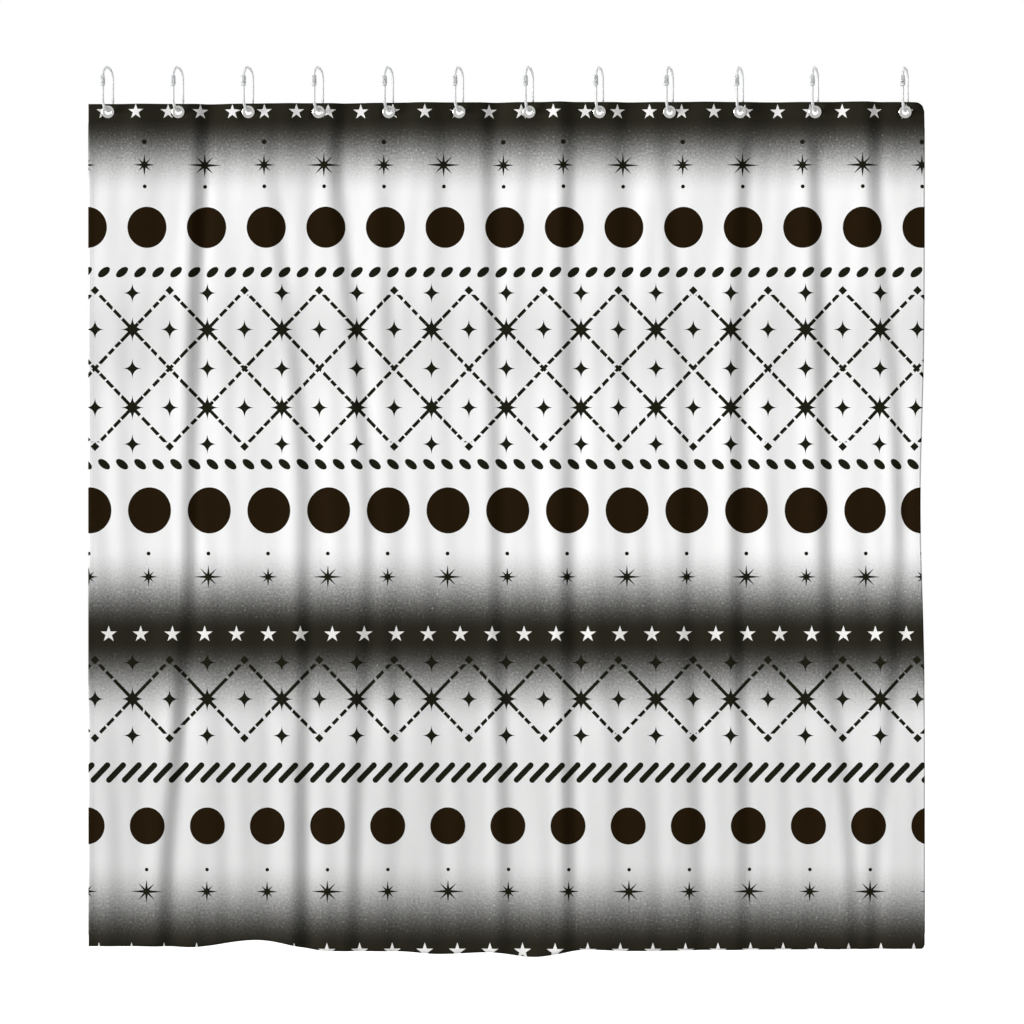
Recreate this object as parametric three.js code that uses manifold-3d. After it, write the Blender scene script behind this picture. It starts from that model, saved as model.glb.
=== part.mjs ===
// A shower curtain on twelve snap rings.
// Millimetres. +X to the right, +Z up, and the printed face looks along -Y.
// The origin is where the rod's axis crosses the curtain's middle.

import * as THREE from 'three';
import { mergeVertices } from 'three/addons/utils/BufferGeometryUtils.js';
import Module from 'manifold-3d';

const wasm = await Module();
wasm.setup();

// ---- Driving dimensions ----

// The hung cloth
const CURTAIN_WIDTH = 1811;
const CURTAIN_DROP = 1829;
const CLOTH_THICKNESS = 0.5;
const FOLD_DEPTH = 9;
const WAVE_STEPS = 6;

// Hems, all turned to the back
const HEADER_DEPTH = 40;
const TAPE_DEPTH = 34;
const TAPE_THICKNESS = 0.3;
const BOTTOM_HEM_DEPTH = 25;
const SIDE_HEM_WIDTH = 12;

// Eyelets and their back washers
const EYELET_COUNT = 12;
const EYELET_SIDE_MARGIN = 42;
const EYELET_FROM_TOP = 18;
const LAST_GAPS_EXTRA = [11, 43];
const EYELET_BORE = 14;
const BARREL_WALL = 0.6;
const FLANGE_WIDTH = 6.9;
const FLANGE_HEIGHT = 1.8;
const WASHER_THICKNESS = 0.8;
const CURL_WIDTH = 2;
const CURL_HEIGHT = 0.9;
const EYELET_SIDES = 16;
const HOLE_DRILL_LENGTH = 10;

// Snap rings
const ROD_TO_EYELET = 72;
const RING_TOP = 28;
const RING_WIDTH = 47;
const RING_TURN = THREE.MathUtils.degToRad(20);
const WIRE_DIAMETER = 5.5;
const WIRE_SIDES = 6;
const WIRE_STEPS = 14;
const CLASP_TOP = 4;
const CLASP_HEIGHT = 22;
const CLASP_FLOOR = 6;
const CLASP_SIDE_WALL = 2.4;
const CLASP_FRONT_WALL = 1.8;
const CLASP_REACH = 1;
const CLASP_CORNER = 2;

// Clearances
const GAP = 0.3;
const FLAT_MARGIN = 2;
const WIRE_TO_BORE = 1.3;

// ---- Places worked out from them ----

const EYELET_Z = -ROD_TO_EYELET;
const CLOTH_TOP = EYELET_Z + EYELET_FROM_TOP;
const CLOTH_BOTTOM = CLOTH_TOP - CURTAIN_DROP;

// Layers of cloth, as distances behind the middle of the panel
const PANEL = { front: -CLOTH_THICKNESS / 2, back: CLOTH_THICKNESS / 2 };
const TAPE = layerBehind(PANEL, TAPE_THICKNESS);
const HEADER = layerBehind(TAPE, CLOTH_THICKNESS);
const HEM = layerBehind(PANEL, CLOTH_THICKNESS);
const WASHER = layerBehind(HEADER, WASHER_THICKNESS);

const BORE_RADIUS = EYELET_BORE / 2;
const BARREL_RADIUS = BORE_RADIUS + BARREL_WALL;
const FLANGE_RADIUS = BORE_RADIUS + FLANGE_WIDTH;
const CLOTH_HOLE_RADIUS = BARREL_RADIUS + GAP;

const WIRE_RADIUS = WIRE_DIAMETER / 2;
const BEND_RADIUS = RING_WIDTH / 2;
const WIRE_LOW = EYELET_Z + BORE_RADIUS - WIRE_TO_BORE - WIRE_RADIUS;
const BEND_Z = WIRE_LOW + BEND_RADIUS;
const ARCH_Z = RING_TOP - WIRE_RADIUS - BEND_RADIUS;
const LEG = ARCH_Z - BEND_Z;
const QUARTER = (BEND_RADIUS * Math.PI) / 2;
const HALF_RING = QUARTER + LEG + QUARTER;

const CLASP_BOTTOM = CLASP_TOP - CLASP_HEIGHT;
const POCKET_FLOOR = CLASP_BOTTOM + CLASP_FLOOR;

const EYELET_XS = eyeletPlaces();

function layerBehind(layer, thickness) {
  const front = layer.back + GAP;
  return { front, back: front + thickness };
}

// Equal gaps, apart from the last two, which are wider.
function eyeletPlaces() {
  const first = -CURTAIN_WIDTH / 2 + EYELET_SIDE_MARGIN;
  const last = CURTAIN_WIDTH / 2 - EYELET_SIDE_MARGIN;
  const gaps = EYELET_COUNT - 1;
  const extra = LAST_GAPS_EXTRA.reduce((sum, value) => sum + value, 0);
  const pitch = (last - first - extra) / gaps;
  const places = [first];
  for (let i = 0; i < gaps; i += 1) {
    const wider = LAST_GAPS_EXTRA[i - (gaps - LAST_GAPS_EXTRA.length)] ?? 0;
    places.push(places[i] + pitch + wider);
  }
  return places;
}

// ---- Materials ----

function paint(color, roughness, metalness) {
  return () => new THREE.MeshStandardMaterial({ color, roughness, metalness });
}

const printedCloth = paint(0x8c8a84, 0.85, 0);
const plainCloth = paint(0xe6e4de, 0.9, 0);
const bondedTape = paint(0xf2f1ec, 0.95, 0);
const nickel = paint(0xc4c6c8, 0.28, 1);
const milkyPlastic = paint(0xe9ebea, 0.4, 0);

// ---- Solids ----

function toSolid(geometry) {
  const bare = geometry.clone();
  bare.deleteAttribute('normal');
  bare.deleteAttribute('uv');
  const merged = mergeVertices(bare, 1e-4);
  return new wasm.Manifold(new wasm.Mesh({
    numProp: 3,
    vertProperties: new Float32Array(merged.attributes.position.array),
    triVerts: new Uint32Array(merged.index.array),
  }));
}

function toGeometry(solid) {
  const mesh = solid.getMesh();
  const geometry = new THREE.BufferGeometry();
  geometry.setAttribute('position', new THREE.BufferAttribute(mesh.vertProperties, 3));
  geometry.setIndex(new THREE.BufferAttribute(mesh.triVerts, 1));
  geometry.computeVertexNormals();
  return geometry;
}

function part(name, geometry, material) {
  const mesh = new THREE.Mesh(geometry, material());
  mesh.name = name;
  return mesh;
}

function numbered(name, i) {
  return `${name}_${String(i + 1).padStart(2, '0')}`;
}

// ---- Cloth ----

// The line that the cloth hangs on, seen from above. It is flat at each eyelet,
// and bows to the front and to the back by turns between them.
function clothLine() {
  const flat = FLANGE_RADIUS + FLAT_MARGIN;
  const line = [new THREE.Vector2(-CURTAIN_WIDTH / 2, 0)];
  line.push(new THREE.Vector2(-CURTAIN_WIDTH / 2 + SIDE_HEM_WIDTH, 0));
  for (let i = 0; i + 1 < EYELET_COUNT; i += 1) {
    const from = EYELET_XS[i] + flat;
    const span = EYELET_XS[i + 1] - flat - from;
    const side = i % 2 === 0 ? -1 : 1;
    for (let k = 0; k <= WAVE_STEPS; k += 1) {
      const t = k / WAVE_STEPS;
      const y = (side * FOLD_DEPTH * (1 - Math.cos(2 * Math.PI * t))) / 2;
      line.push(new THREE.Vector2(from + span * t, y));
    }
  }
  line.push(new THREE.Vector2(CURTAIN_WIDTH / 2 - SIDE_HEM_WIDTH, 0));
  line.push(new THREE.Vector2(CURTAIN_WIDTH / 2, 0));
  return line;
}

// The same line moved back by a distance, square to itself.
function movedBack(line, distance) {
  return line.map((point, i) => {
    const before = line[Math.max(i - 1, 0)];
    const after = line[Math.min(i + 1, line.length - 1)];
    const along = after.clone().sub(before).normalize();
    return new THREE.Vector2(point.x - along.y * distance, point.y + along.x * distance);
  });
}

function clothStrip(line, layer, bottom, top) {
  const front = movedBack(line, layer.front);
  const back = movedBack(line, layer.back).reverse();
  const outline = new THREE.Shape([...front, ...back]);
  const depth = top - bottom;
  const strip = new THREE.ExtrudeGeometry(outline, { depth, bevelEnabled: false });
  return strip.translate(0, 0, bottom);
}

function withEyeletHoles(geometry) {
  const drill = new THREE.CylinderGeometry(
    CLOTH_HOLE_RADIUS, CLOTH_HOLE_RADIUS, HOLE_DRILL_LENGTH, EYELET_SIDES,
  );
  return toGeometry(EYELET_XS.reduce(
    (solid, x) => solid.subtract(toSolid(drill.clone().translate(x, 0, EYELET_Z))),
    toSolid(geometry),
  ));
}

function cloth() {
  const line = clothLine();
  const bottomHemTop = CLOTH_BOTTOM + BOTTOM_HEM_DEPTH;
  const headerBottom = CLOTH_TOP - HEADER_DEPTH;
  const tapeTop = CLOTH_TOP - (HEADER_DEPTH - TAPE_DEPTH) / 2;
  const panel = clothStrip(line, PANEL, CLOTH_BOTTOM, CLOTH_TOP);
  const header = clothStrip(line, HEADER, headerBottom, CLOTH_TOP);
  const tape = clothStrip(line, TAPE, tapeTop - TAPE_DEPTH, tapeTop);
  const bottomHem = clothStrip(line, HEM, CLOTH_BOTTOM, bottomHemTop);
  const sideHem = (ends) => clothStrip(ends, HEM, bottomHemTop + GAP, headerBottom - GAP);
  return [
    part('curtain_panel', withEyeletHoles(panel), printedCloth),
    part('header_fold', withEyeletHoles(header), plainCloth),
    part('header_tape', withEyeletHoles(tape), bondedTape),
    part('bottom_hem', bottomHem, plainCloth),
    part('left_hem', sideHem(line.slice(0, 2)), plainCloth),
    part('right_hem', sideHem(line.slice(-2)), plainCloth),
  ];
}

// ---- Eyelets ----

function turned(profile) {
  const points = [...profile, profile[0]].map(([r, y]) => new THREE.Vector2(r, y));
  return new THREE.LatheGeometry(points, EYELET_SIDES);
}

// A crowned front flange, a barrel through the cloth, and a lip curled over the washer.
function eyeletGeometry() {
  const flangeBack = PANEL.front - GAP;
  const flangeFront = flangeBack - FLANGE_HEIGHT;
  const curlFront = WASHER.back + GAP;
  const curlBack = curlFront + CURL_HEIGHT;
  const crown = BORE_RADIUS + FLANGE_WIDTH / 2;
  return turned([
    [BORE_RADIUS, flangeFront + FLANGE_HEIGHT / 3],
    [crown, flangeFront],
    [FLANGE_RADIUS, flangeBack - FLANGE_HEIGHT / 3],
    [FLANGE_RADIUS, flangeBack],
    [BARREL_RADIUS, flangeBack],
    [BARREL_RADIUS, curlFront],
    [BARREL_RADIUS + CURL_WIDTH, curlFront],
    [BARREL_RADIUS + CURL_WIDTH / 2, curlBack],
    [BORE_RADIUS, curlFront + CURL_HEIGHT / 2],
  ]);
}

function washerGeometry() {
  return turned([
    [CLOTH_HOLE_RADIUS, WASHER.front],
    [FLANGE_RADIUS, WASHER.front],
    [FLANGE_RADIUS, WASHER.front + WASHER_THICKNESS / 2],
    [FLANGE_RADIUS - FLANGE_WIDTH / 3, WASHER.back],
    [CLOTH_HOLE_RADIUS, WASHER.back],
  ]);
}

// ---- Snap rings ----

// A point on the ring's centreline in the plane X = 0, by its distance round the
// ring from the lowest point, first towards the back.
function ringPoint(distance) {
  if (distance < 0) return mirrored(ringPoint(-distance));
  if (distance > HALF_RING) return mirrored(ringPoint(2 * HALF_RING - distance));
  if (distance < QUARTER) {
    const a = distance / BEND_RADIUS;
    return new THREE.Vector3(0, BEND_RADIUS * Math.sin(a), BEND_Z - BEND_RADIUS * Math.cos(a));
  }
  if (distance < QUARTER + LEG) {
    return new THREE.Vector3(0, BEND_RADIUS, BEND_Z + distance - QUARTER);
  }
  const a = (distance - QUARTER - LEG) / BEND_RADIUS;
  return new THREE.Vector3(0, BEND_RADIUS * Math.cos(a), ARCH_Z + BEND_RADIUS * Math.sin(a));
}

function mirrored(point) {
  return point.setY(-point.y);
}

class RingStretch extends THREE.Curve {
  constructor(from, to) {
    super();
    this.from = from;
    this.to = to;
  }

  getPoint(t) {
    return ringPoint(THREE.MathUtils.lerp(this.from, this.to, t));
  }
}

function wire(from, to) {
  const section = new THREE.Shape();
  for (let i = 0; i < WIRE_SIDES; i += 1) {
    const a = (2 * Math.PI * (i + 0.5)) / WIRE_SIDES;
    const x = WIRE_RADIUS * Math.cos(a);
    const y = WIRE_RADIUS * Math.sin(a);
    if (i === 0) section.moveTo(x, y);
    else section.lineTo(x, y);
  }
  section.closePath();
  const extrudePath = new RingStretch(from, to);
  return new THREE.ExtrudeGeometry(section, { steps: WIRE_STEPS, extrudePath });
}

function block(x0, x1, y0, y1, z0, z1) {
  const box = new THREE.BoxGeometry(x1 - x0, y1 - y0, z1 - z0);
  return box.translate((x0 + x1) / 2, (y0 + y1) / 2, (z0 + z1) / 2);
}

// The clasp is a cup in front of the rod. It is open at the top and towards the
// rod, so that the arm's tip can leave it upwards and backwards.
function claspSolid() {
  const pocketHalf = WIRE_RADIUS + GAP;
  const half = pocketHalf + CLASP_SIDE_WALL;
  const pocketFront = -BEND_RADIUS - pocketHalf;
  const front = pocketFront - CLASP_FRONT_WALL;
  const back = -BEND_RADIUS + CLASP_REACH;
  const outline = new THREE.Shape([
    new THREE.Vector2(-half + CLASP_CORNER, front),
    new THREE.Vector2(half - CLASP_CORNER, front),
    new THREE.Vector2(half, front + CLASP_CORNER),
    new THREE.Vector2(half, back),
    new THREE.Vector2(-half, back),
    new THREE.Vector2(-half, front + CLASP_CORNER),
  ]);
  const cup = new THREE.ExtrudeGeometry(outline, { depth: CLASP_HEIGHT, bevelEnabled: false });
  const past = WIRE_DIAMETER;
  const pocket = block(
    -pocketHalf, pocketHalf, pocketFront, back + past, POCKET_FLOOR, CLASP_TOP + past,
  );
  return toSolid(cup.translate(0, 0, CLASP_BOTTOM)).subtract(toSolid(pocket));
}

// Front leg, clasp and the bend that passes through the eyelet.
function hookGeometry() {
  const bendEnd = QUARTER - GAP / 2;
  const legTop = CLASP_BOTTOM + CLASP_FLOOR / 2;
  const legEnd = -QUARTER - (legTop - BEND_Z);
  return toGeometry(toSolid(wire(legEnd, bendEnd)).add(claspSolid()));
}

// Back leg, arch over the rod, and the tip that sits in the clasp.
function armGeometry() {
  const legStart = QUARTER + GAP / 2;
  const tipEnd = QUARTER + LEG + 2 * QUARTER + (ARCH_Z - POCKET_FLOOR - GAP);
  return wire(legStart, tipEnd);
}

// ---- Assembly ----

const curtain = new THREE.Group();
curtain.add(...cloth());

EYELET_XS.forEach((x, i) => {
  const eyelet = new THREE.Group();
  eyelet.position.set(x, 0, EYELET_Z);
  eyelet.add(part(numbered('eyelet', i), eyeletGeometry(), nickel));
  eyelet.add(part(numbered('washer', i), washerGeometry(), nickel));

  const ring = new THREE.Group();
  ring.position.set(x, 0, 0);
  ring.rotation.z = -RING_TURN;
  ring.add(part(numbered('hook', i), hookGeometry(), milkyPlastic));
  ring.add(part(numbered('hook_arm', i), armGeometry(), milkyPlastic));

  curtain.add(eyelet, ring);
});

export default curtain;
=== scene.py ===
# A printed polyester shower curtain on twelve snap rings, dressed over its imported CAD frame.
# Metres, +Z up. The printed face looks along -Y and the rod's axis is the line y = z = 0.

import math

import bmesh
import bpy
import numpy as np
from mathutils import Matrix, Vector


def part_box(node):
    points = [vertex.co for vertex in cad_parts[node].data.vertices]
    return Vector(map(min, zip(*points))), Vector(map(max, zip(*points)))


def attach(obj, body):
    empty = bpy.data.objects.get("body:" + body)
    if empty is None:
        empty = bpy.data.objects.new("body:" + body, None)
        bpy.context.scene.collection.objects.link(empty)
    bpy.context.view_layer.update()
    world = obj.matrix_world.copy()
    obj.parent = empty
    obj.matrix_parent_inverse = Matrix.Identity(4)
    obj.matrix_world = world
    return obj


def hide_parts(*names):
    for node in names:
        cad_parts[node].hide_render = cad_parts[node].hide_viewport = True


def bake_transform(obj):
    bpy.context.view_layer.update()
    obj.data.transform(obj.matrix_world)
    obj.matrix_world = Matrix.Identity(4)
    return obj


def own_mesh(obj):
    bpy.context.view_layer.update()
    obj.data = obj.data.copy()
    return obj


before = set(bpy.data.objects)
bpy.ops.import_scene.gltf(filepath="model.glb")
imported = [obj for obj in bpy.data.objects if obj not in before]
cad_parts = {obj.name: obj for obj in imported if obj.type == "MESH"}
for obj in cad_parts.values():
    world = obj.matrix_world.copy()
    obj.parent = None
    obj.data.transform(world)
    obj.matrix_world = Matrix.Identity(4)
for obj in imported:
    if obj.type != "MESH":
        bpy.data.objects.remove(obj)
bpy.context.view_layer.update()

MM = 0.001
RINGS = [f"{i:02d}" for i in range(1, 13)]

# ---- Sizes, in metres ----

FLAT_WIDTH = 1.829
FLAT_LENGTH = 1.829
CLOTH_THICKNESS = 0.4 * MM

PANEL_LOW, PANEL_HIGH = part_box("curtain_panel")
HUNG_WIDTH = PANEL_HIGH.x - PANEL_LOW.x
LEFT = PANEL_LOW.x
TOP = PANEL_HIGH.z

HEADER_DEPTH = 40 * MM
BOTTOM_HEM_DEPTH = 25 * MM
SIDE_HEM_WIDTH = 12 * MM
HEADER_BEHIND = 1.4 * MM
HEM_BEHIND = 0.8 * MM
HEM_THICKNESS = 0.3 * MM
TAPE_FROM_TOP = 3 * MM
TAPE_DEPTH = 34 * MM
TAPE_BEHIND = 0.7 * MM
TAPE_THICKNESS = 0.25 * MM
CLOTH_COLUMNS = 200
CLOTH_ROWS = 202
SIDE_HEM_ROWS = 160
TAPE_ROWS = 4


def middle(node):
    low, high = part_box(node)
    return (low + high) / 2


EYELETS = [middle(f"eyelet_{n}") for n in RINGS]
CLOTH_HOLE = 12 * MM


# ---- Colours ----

def rgb(code):
    """An sRGB hex colour as linear RGBA."""
    parts = [int(code[i:i + 2], 16) / 255 for i in (1, 3, 5)]
    return tuple(c / 12.92 if c <= 0.04045 else ((c + 0.055) / 1.055) ** 2.4 for c in parts) + (1,)


# ---- Nodes ----

MATH = "ShaderNodeMath"
VECTOR = "ShaderNodeVectorMath"
COMBINE = "ShaderNodeCombineXYZ"
SPLIT = "ShaderNodeSeparateXYZ"


def add(tree, kind, settings, *inputs, out=0, **named):
    """Adds a node, sets it, fills its inputs with sockets or values, and gives one output."""
    made = tree.nodes.new(kind)
    for name, value in settings.items():
        setattr(made, name, value)
    for key, value in [*enumerate(inputs), *named.items()]:
        socket = made.inputs[key if isinstance(key, int) else key.replace("_", " ")]
        if isinstance(value, bpy.types.NodeSocket):
            tree.links.new(value, socket)
        elif value is not None:
            socket.default_value = value
    return made.outputs[out]


def new_material(name):
    """A material with one Principled shader, its node tree and that shader."""
    made = bpy.data.materials.new(name)
    made.use_nodes = True
    tree = made.node_tree
    shader = next(n for n in tree.nodes if n.type == "BSDF_PRINCIPLED")
    return made, tree, shader


# ---- The print, all in millimetres of flat cloth: u from the left edge, v down from the top ----

LATTICE_HALF = 81.8
LATTICE_STEP = 84.6
LATTICE_LEFT = 14.2
LINE_HALF = 0.062
DASH = 0.4
STRAIGHT_UP = math.radians(90)
FAR = 100000.0


def in_row(tree, place, u, v, pitch):
    """The place on the cloth, counted from the nearest motif of a row."""
    from_first = add(tree, VECTOR, {"operation": "SUBTRACT"}, place, (u, v, 0))
    half = (pitch / 2, FAR, 1)
    return add(tree, VECTOR, {"operation": "WRAP"}, from_first, half, tuple(-x for x in half))


def in_leaning_row(tree, place, u, v, pitch, lean):
    """The same for a row whose cells lean by an angle, so that long marks pass one another."""
    down = add(tree, SPLIT, {}, place, out=1)
    down = add(tree, MATH, {"operation": "SUBTRACT"}, down, v)
    shift = add(tree, MATH, {"operation": "DIVIDE"}, down, math.tan(math.radians(lean)))
    shift = add(tree, COMBINE, {}, shift)
    upright = add(tree, VECTOR, {"operation": "ADD"}, place, shift)
    upright = in_row(tree, upright, u, v, pitch)
    return add(tree, VECTOR, {"operation": "SUBTRACT"}, upright, shift)


def under(tree, value, limit):
    return add(tree, MATH, {"operation": "LESS_THAN"}, value, limit)


def either(tree, *masks):
    """One where any of the masks is one."""
    joined = masks[0]
    for mask in masks[1:]:
        joined = add(tree, MATH, {"operation": "MAXIMUM"}, joined, mask)
    return joined


def both(tree, *masks):
    joined = masks[0]
    for mask in masks[1:]:
        joined = add(tree, MATH, {"operation": "MULTIPLY"}, joined, mask)
    return joined


def disc(tree, at, across, down):
    scaled = add(tree, VECTOR, {"operation": "DIVIDE"}, at, (across, down, 1))
    return under(tree, add(tree, VECTOR, {"operation": "LENGTH"}, scaled, out=1), 1)


def turned(tree, at, degrees):
    turn = {"rotation_type": "Z_AXIS"}
    return add(tree, "ShaderNodeVectorRotate", turn, at, Angle=math.radians(degrees))


def spikes(tree, at, across, down):
    """A four-point sparkle with hollow sides."""
    size = add(tree, VECTOR, {"operation": "ABSOLUTE"}, at)
    size = add(tree, VECTOR, {"operation": "DIVIDE"}, size, (across, down, 1))
    split = add(tree, SPLIT, {}, size)
    wide = add(tree, MATH, {"operation": "SQRT"}, split)
    high = add(tree, MATH, {"operation": "SQRT"}, split.node.outputs[1])
    return under(tree, add(tree, MATH, {"operation": "ADD"}, wide, high), 1)


def needles(tree, at, across, down, waist):
    """Two crossed thin diamonds."""
    size = add(tree, VECTOR, {"operation": "ABSOLUTE"}, at)
    flat = (1 / across, 1 / waist, 0)
    tall = (1 / waist, 1 / down, 0)
    wide = add(tree, VECTOR, {"operation": "DOT_PRODUCT"}, size, flat, out=1)
    high = add(tree, VECTOR, {"operation": "DOT_PRODUCT"}, size, tall, out=1)
    return under(tree, add(tree, MATH, {"operation": "MINIMUM"}, wide, high), 1)


def sparkle(tree, at, across, down, slant, waist):
    """Eight needle points on a small hollow-sided core."""
    upright = needles(tree, at, across, down, waist)
    slanted = needles(tree, turned(tree, at, 45), slant, slant, waist * 0.85)
    return either(tree, upright, slanted, spikes(tree, at, 5 * waist, 5 * waist))


def star(tree, at, radius):
    """A five-point star is where at least four of its five edge lines have their inside."""
    inside = None
    for k in range(5):
        a = STRAIGHT_UP + k * math.tau / 5
        towards = (math.cos(a), -math.sin(a), 0)
        line = add(tree, VECTOR, {"operation": "DOT_PRODUCT"}, at, towards, out=1)
        side = under(tree, line, radius * math.cos(math.tau / 5))
        inside = side if inside is None else add(tree, MATH, {"operation": "ADD"}, inside, side)
    return add(tree, MATH, {"operation": "GREATER_THAN"}, inside, 3.5)


def stroke(tree, at, length, width):
    """A bar with round ends along the first axis."""
    size = add(tree, VECTOR, {"operation": "ABSOLUTE"}, at)
    past = add(tree, VECTOR, {"operation": "SUBTRACT"}, size, (length / 2 - width / 2, 0, 0))
    past = add(tree, VECTOR, {"operation": "MAXIMUM"}, past, (0, 0, 0))
    return under(tree, add(tree, VECTOR, {"operation": "LENGTH"}, past, out=1), width / 2)


def large_places(tree, place, u, v, pitch):
    """The place counted from the nearest large sparkle, which are the third, fifth and seventh of
    each run of seven, and whether it belongs to one of them."""
    first = u + 0.5 * pitch
    from_first = add(tree, VECTOR, {"operation": "SUBTRACT"}, place, (first, v, 0))
    run = add(tree, VECTOR, {"operation": "WRAP"}, from_first, (7 * pitch, FAR, 1), (0, -FAR, -1))
    along = add(tree, SPLIT, {}, run)
    near = in_row(tree, run, pitch / 2, 0, 2 * pitch)
    beside = add(tree, MATH, {"operation": "ABSOLUTE"}, add(tree, SPLIT, {}, near))
    mine = both(tree, under(tree, along, 6 * pitch), under(tree, beside, pitch / 2))
    return near, mine


def sparkle_row(tree, place, u, v, pitch, small, large):
    """Small sparkles at every pitch, with three large ones in each run of seven."""
    every = sparkle(tree, in_row(tree, place, u, v, pitch), *small)
    near, mine = large_places(tree, place, u, v, pitch)
    return either(tree, every, both(tree, sparkle(tree, near, *large), mine))


def dot_row(tree, place, u, v, pitch, radius):
    """Dots above the small sparkles only."""
    _, mine = large_places(tree, place, u, v, pitch)
    dots = disc(tree, in_row(tree, place, u, v, pitch), radius, radius)
    return both(tree, dots, add(tree, MATH, {"operation": "SUBTRACT"}, 1, mine))


def lattice(tree, place, v, rows, solid):
    """Dashed slanted lines between nodes, with sparkles in the diamonds that they make. The grid
    counts half diamonds, so that every node stands at whole numbers. Each line is solid within
    the radius solid of a node, counted from a little above it."""
    unit = (LATTICE_HALF, LATTICE_STEP, 1)
    from_first = add(tree, VECTOR, {"operation": "SUBTRACT"}, place, (LATTICE_LEFT, v, 0))
    grid = add(tree, VECTOR, {"operation": "DIVIDE"}, from_first, unit)
    deep = add(tree, SPLIT, {}, grid, out=1)
    deep = add(tree, MATH, {"operation": "SUBTRACT"}, deep, rows / 2)
    from_middle = add(tree, MATH, {"operation": "ABSOLUTE"}, deep)
    within = under(tree, from_middle, rows / 2)

    # eight-point nodes, where odd columns and odd rows cross
    node = add(tree, VECTOR, {"operation": "WRAP"}, grid, (2, 2, 1), (0, 0, -1))
    node = add(tree, VECTOR, {"operation": "SUBTRACT"}, node, (1, 1, 0))
    node = add(tree, VECTOR, {"operation": "MULTIPLY"}, node, unit)
    above = add(tree, VECTOR, {"operation": "ADD"}, node, (0, solid - 18, 0))
    near_node = disc(tree, above, solid, solid)
    knot = either(tree, spikes(tree, node, 28, 30), needles(tree, node, 20, 21, 5.5))
    knot = either(tree, knot, spikes(tree, turned(tree, node, 45), 23, 23))
    knot = both(tree, knot, within)

    # a little unevenness in where each dash ends and how wide its gap is
    drift = add(tree, "ShaderNodeTexNoise", {}, place, Scale=0.021, Detail=1)
    gap = add(tree, MATH, {"operation": "MULTIPLY"}, drift, 0.42 * DASH)
    marks = []
    for across, along in (((1, -1, 0), (1, 1, 0)), ((1, 1, 0), (-1, 1, 0))):
        over = add(tree, VECTOR, {"operation": "DOT_PRODUCT"}, grid, across, out=1)
        off = add(tree, MATH, {"operation": "WRAP"}, over, 1, -1)
        line = under(tree, add(tree, MATH, {"operation": "ABSOLUTE"}, off), LINE_HALF)
        run = add(tree, VECTOR, {"operation": "DOT_PRODUCT"}, grid, along, out=1)
        run = add(tree, MATH, {"operation": "MULTIPLY_ADD"}, drift, 0.5, run)
        from_gap = add(tree, MATH, {"operation": "SUBTRACT"}, run, 0.25 + 0.33 * DASH)
        dash = add(tree, MATH, {"operation": "WRAP"}, from_gap, DASH, 0)
        drawn = add(tree, MATH, {"operation": "GREATER_THAN"}, dash, gap)
        drawn = either(tree, drawn, near_node)
        marks.append(both(tree, line, drawn, under(tree, from_middle, rows / 2 - 0.11)))

    # diamonds at the ends of the lines
    ends = add(tree, VECTOR, {"operation": "WRAP"}, grid, (1, rows / 2, 1), (-1, -rows / 2, -1))
    ends = add(tree, VECTOR, {"operation": "MULTIPLY"}, ends, unit)
    size = add(tree, VECTOR, {"operation": "ABSOLUTE"}, ends)
    far = add(tree, VECTOR, {"operation": "DOT_PRODUCT"}, size, (1, 1, 0), out=1)
    outer = add(tree, MATH, {"operation": "GREATER_THAN"}, from_middle, rows / 2 - 0.4)
    diamond = both(tree, under(tree, far, 9.6), under(tree, from_middle, rows / 2 + 0.5), outer)

    # sparkles at every crossing of an odd with an even number, the outer rows set in a little
    inwards = both(tree, add(tree, MATH, {"operation": "SIGN"}, deep), outer)
    inwards = add(tree, MATH, {"operation": "MULTIPLY"}, inwards, 0.065)
    inwards = add(tree, COMBINE, {}, Y=inwards)
    moved = add(tree, VECTOR, {"operation": "ADD"}, grid, inwards)
    pair = []
    for direction in ((0.5, 0.5, 0), (0.5, -0.5, 0)):
        reach = add(tree, VECTOR, {"operation": "DOT_PRODUCT"}, moved, direction, out=1)
        pair.append(add(tree, MATH, {"operation": "WRAP"}, reach, 1, 0))
    pair = add(tree, COMBINE, {}, *pair)
    pair = add(tree, VECTOR, {"operation": "SUBTRACT"}, pair, (0.5, 0.5, 0))
    near_u = add(tree, VECTOR, {"operation": "DOT_PRODUCT"}, pair, (1, 1, 0), out=1)
    near_v = add(tree, VECTOR, {"operation": "DOT_PRODUCT"}, pair, (1, -1, 0), out=1)
    near = add(tree, COMBINE, {}, near_u, near_v)
    near = add(tree, VECTOR, {"operation": "MULTIPLY"}, near, unit)
    small = both(tree, spikes(tree, near, 22, 24), under(tree, from_middle, rows / 2 + 0.3))
    return either(tree, *marks, diamond, knot, small)


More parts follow.
